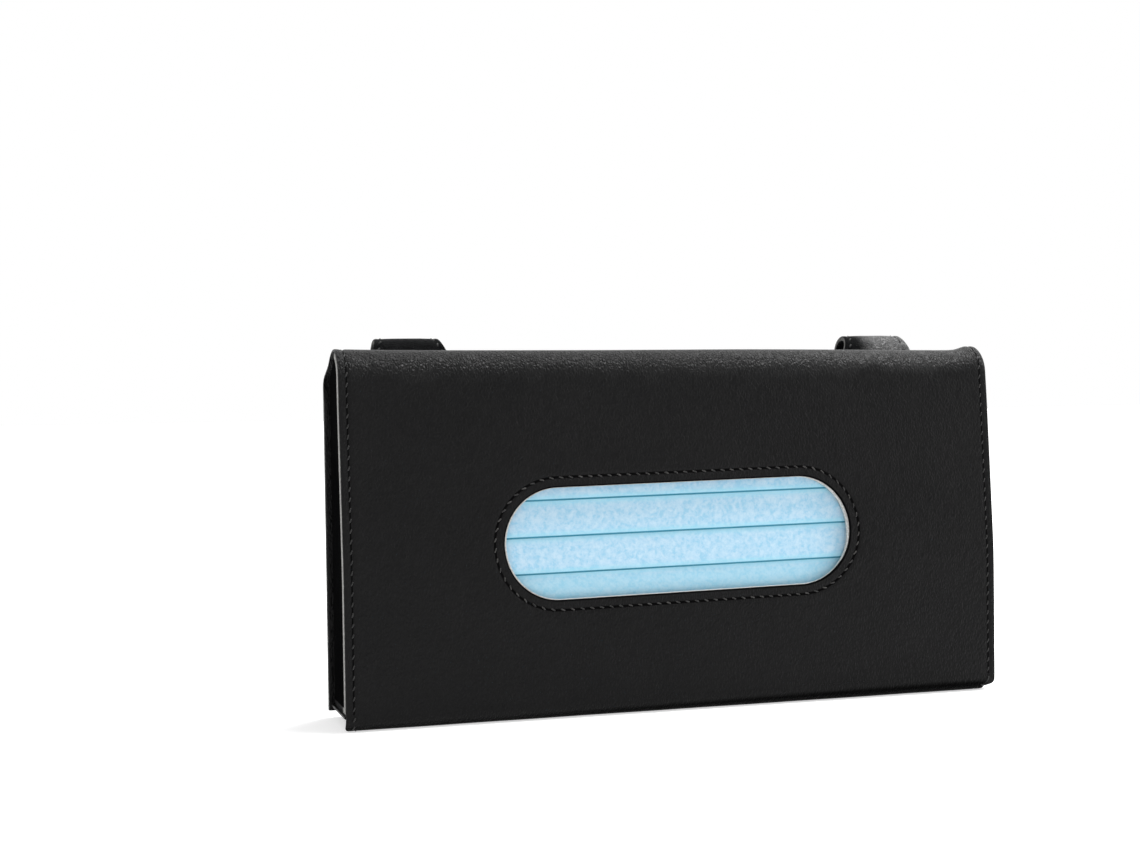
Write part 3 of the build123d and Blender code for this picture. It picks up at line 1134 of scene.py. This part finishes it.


# Pale blue cloth: bonded dots, stray fibres, a deeper blue near each pleat and below the lowest,
# and a dark teal line in each crease that is partly the folded cloth's deeper colour and partly
# painted shade.
mask_cloth, tree, shader, where = node_material("mask_cloth")
x, z = (shade(tree, "SeparateXYZ", {"Vector": where}, axis) for axis in "XZ")
slanted = shade(tree, "Mapping", {"Vector": where, "Rotation": (0, math.radians(45), 0)}, "Vector")
rows = {"Vector": slanted, "Scale": 900.0, "Randomness": 0.25}
dots = shade(tree, "TexVoronoi", rows, "Distance")
fibres = noise(tree, where, 850.0, 6.0, Roughness=0.7)
cloud = noise(tree, where, 480.0, 4.0, Distortion=0.6)
mottle = number(tree, "MULTIPLY_ADD", fibres, 0.5, number(tree, "MULTIPLY", cloud, 0.5))
tint = ramp(tree, mottle, (0.4, (0.32, 0.60, 0.79)), (0.6, (0.54, 0.72, 0.86)))
level = number(tree, "MULTIPLY_ADD", x, -0.012, z)
deeper_blue_share = soft_step(tree, level, mask_pleats[0] * MM, (mask_pleats[0] - 3) * MM, 0.0, 0.45)
crease = 0.0
for head in mask_pleats:
    away = number(tree, "ABSOLUTE", number(tree, "SUBTRACT", level, head * MM))
    deeper_blue_share = number(tree, "MAXIMUM", deeper_blue_share, soft_step(tree, away, 2.6 * MM, 0.4 * MM, 0.0, 0.75))
    # Painted shade: a thin dark line just above each pleat's line, in its crease.
    gap = number(tree, "COMPARE", level, (head + 0.1) * MM, 0.3 * MM)
    crease = number(tree, "MAXIMUM", crease, gap)
deeper_blue_tint = mixed_colour(tree, deeper_blue_share, tint, (0.33, 0.68, 0.83, 1))
colour = mixed_colour(tree, crease, deeper_blue_tint, (0.02, 0.22, 0.34, 1))
height = number(tree, "MULTIPLY_ADD", fibres, 0.6, dots)
dress(tree, shader, colour, height, 0.45, 0.00012, {"Roughness": 0.8, "Sheen Weight": 0.15})
mask_columns = spread(-mask_half_width, mask_half_width, 2.5)
front_mask = lofted("front_mask_cloth", mask_path, mask_columns, mask_point, mask_cloth)
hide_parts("front_mask")
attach(front_mask, "case")

# The masks behind it: folded blue masks stacked flat against one another, a little out of line,
# each with white inner cloth at its back.
inner_cloth, tree, shader, where = node_material("mask_inner_cloth")
fibres = noise(tree, where, 700.0, 6.0)
colour = ramp(tree, fibres, (0.35, (0.56, 0.59, 0.62)), (0.65, (0.72, 0.74, 0.76)))
dress(tree, shader, colour, fibres, 0.4, 0.0001, {"Roughness": 0.85, "Sheen Weight": 0.15})
stack_front = 5.9
stack_pitch = 2.33
stack_count = 8
stack_ply = 1.95
stack_inset = 0.8
slab_round = 0.9
levels = spread(mask_bottom + slab_round, mask_top - slab_round - 0.3, 7)
around = (0.3, 0.4, 0.25), (stack_ply / 2, 0.1, 0.05), (stack_ply - 0.3, 0.4, 0.25)
slab = [(0.0, z) for z in levels] + [(d, mask_top - down) for d, down, _ in around]
slab += [(stack_ply, z) for z in reversed(levels)]
slab += [(d, mask_bottom + up) for d, _, up in reversed(around)]
stack_columns = mirrored(
    [stack_inset - mask_half_width + d for d in (0, 0.1, 0.3, 0.6, 1.0, 2.0)], 6
)
for index in range(stack_count):
    draw = random.Random(40 + index)
    shift, drop = draw.uniform(-0.7, 0.7), draw.uniform(-0.1, 0.0)
    front = stack_front + index * stack_pitch

    def place(x, d, z):
        end = mask_half_width - stack_inset - abs(x)
        squeeze = rounded(end, slab_round) * (1 if d < stack_ply / 2 else -1)
        bow = 0.15 * waves(x, z, 60 + index, 80.0, 47.0)
        lift = drop if z > mask_top - 3 else 0.0
        return in_frame(x + shift, front + d + squeeze + bow + mask_lean(z), z + lift)

    one = lofted(f"stacked_mask_{index + 1}", slab, stack_columns, place, mask_cloth)
    paint(one, inner_cloth, lambda x, y, z, facing: facing.y > 0.8)
    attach(one, "case")
    if index == 0:
        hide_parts("mask_pack")

# The camera stands left of the middle, a little below the case's top, and looks slightly down at
# its front. Its place and lens give the photograph's view.
camera_data = bpy.data.cameras.new("product_camera")
camera_data.lens = 57.31
camera_data.sensor_width = 36.0
camera = linked("product_camera", camera_data)
sight_right = Vector((0.9583, -0.2856, -0.0132)).normalized()
sight_up = Vector((0.0198, 0.0205, 0.9996)).normalized()
sight_back = sight_right.cross(sight_up)
turned = Matrix((sight_right, sight_up, sight_back)).transposed().to_4x4()
camera.matrix_world = Matrix.Translation(Vector(in_frame(-212.7, -577.9, 112.5))) @ turned
bpy.context.scene.camera = camera

# The studio: a white floor that fades into a white backdrop, one broad lamp overhead, one at the
# right and a weak one at the left.


def seen_rays(tree):
    """An output that is 1 for the rays that show the background itself, and 0 for soft light."""
    path = tree.nodes.new("ShaderNodeLightPath").outputs
    bounced = number(tree, "MAXIMUM", path["Is Glossy Ray"], path["Is Transmission Ray"])
    return number(tree, "MAXIMUM", path["Is Camera Ray"], bounced)


world = bpy.data.worlds.new("white_studio")
bpy.context.scene.world = world
world.use_nodes = True
room = world.node_tree
light = remap(room, seen_rays(room), 0.0, 1.0, 0.45, 1.0)
feed(room, room.nodes["Background"], {"Color": (1, 1, 1, 1), "Strength": light})

floor_mesh = bpy.data.meshes.new("studio_floor")
floor_mesh.from_pydata([(-4, -3, 0), (4, -3, 0), (4, 5, 0), (-4, 5, 0)], [], [(0, 1, 2, 3)])
floor = linked("studio_floor", floor_mesh)
floor_material, tree, shader, where = node_material("studio_white")
away = shade(tree, "VectorMath", {0: where}, "Value", operation="LENGTH")
glow = number(tree, "MULTIPLY", soft_step(tree, away, 0.12, 0.7, 0.55, 1.0), seen_rays(tree))
constants = {"Base Color": (0.9, 0.9, 0.9, 1), "Roughness": 0.9, "Emission Color": (1, 1, 1, 1)}
feed(tree, shader, {**constants, "Emission Strength": glow})
floor.data.materials.append(floor_material)

for name, place, aim, width, depth, power in (
    ("overhead_lamp", (0.4, 0.05, 1.25), (0.1, 0, 0.1), 0.9, 0.45, 22),
    ("right_lamp", (1.2, -0.5, 0.7), (0, 0, 0.06), 0.8, 0.8, 5),
    ("left_lamp", (-1.0, -1.4, 0.6), (0, 0, 0.06), 0.8, 0.8, 3),
):
    data = bpy.data.lights.new(name, "AREA")
    data.shape = "RECTANGLE"
    data.size, data.size_y, data.energy = width, depth, power
    lamp = linked(name, data)
    lamp.location = place
    lamp.rotation_euler = (Vector(aim) - Vector(place)).to_track_quat("-Z", "Y").to_euler()
bpy.context.scene.view_settings.view_transform = "Standard"
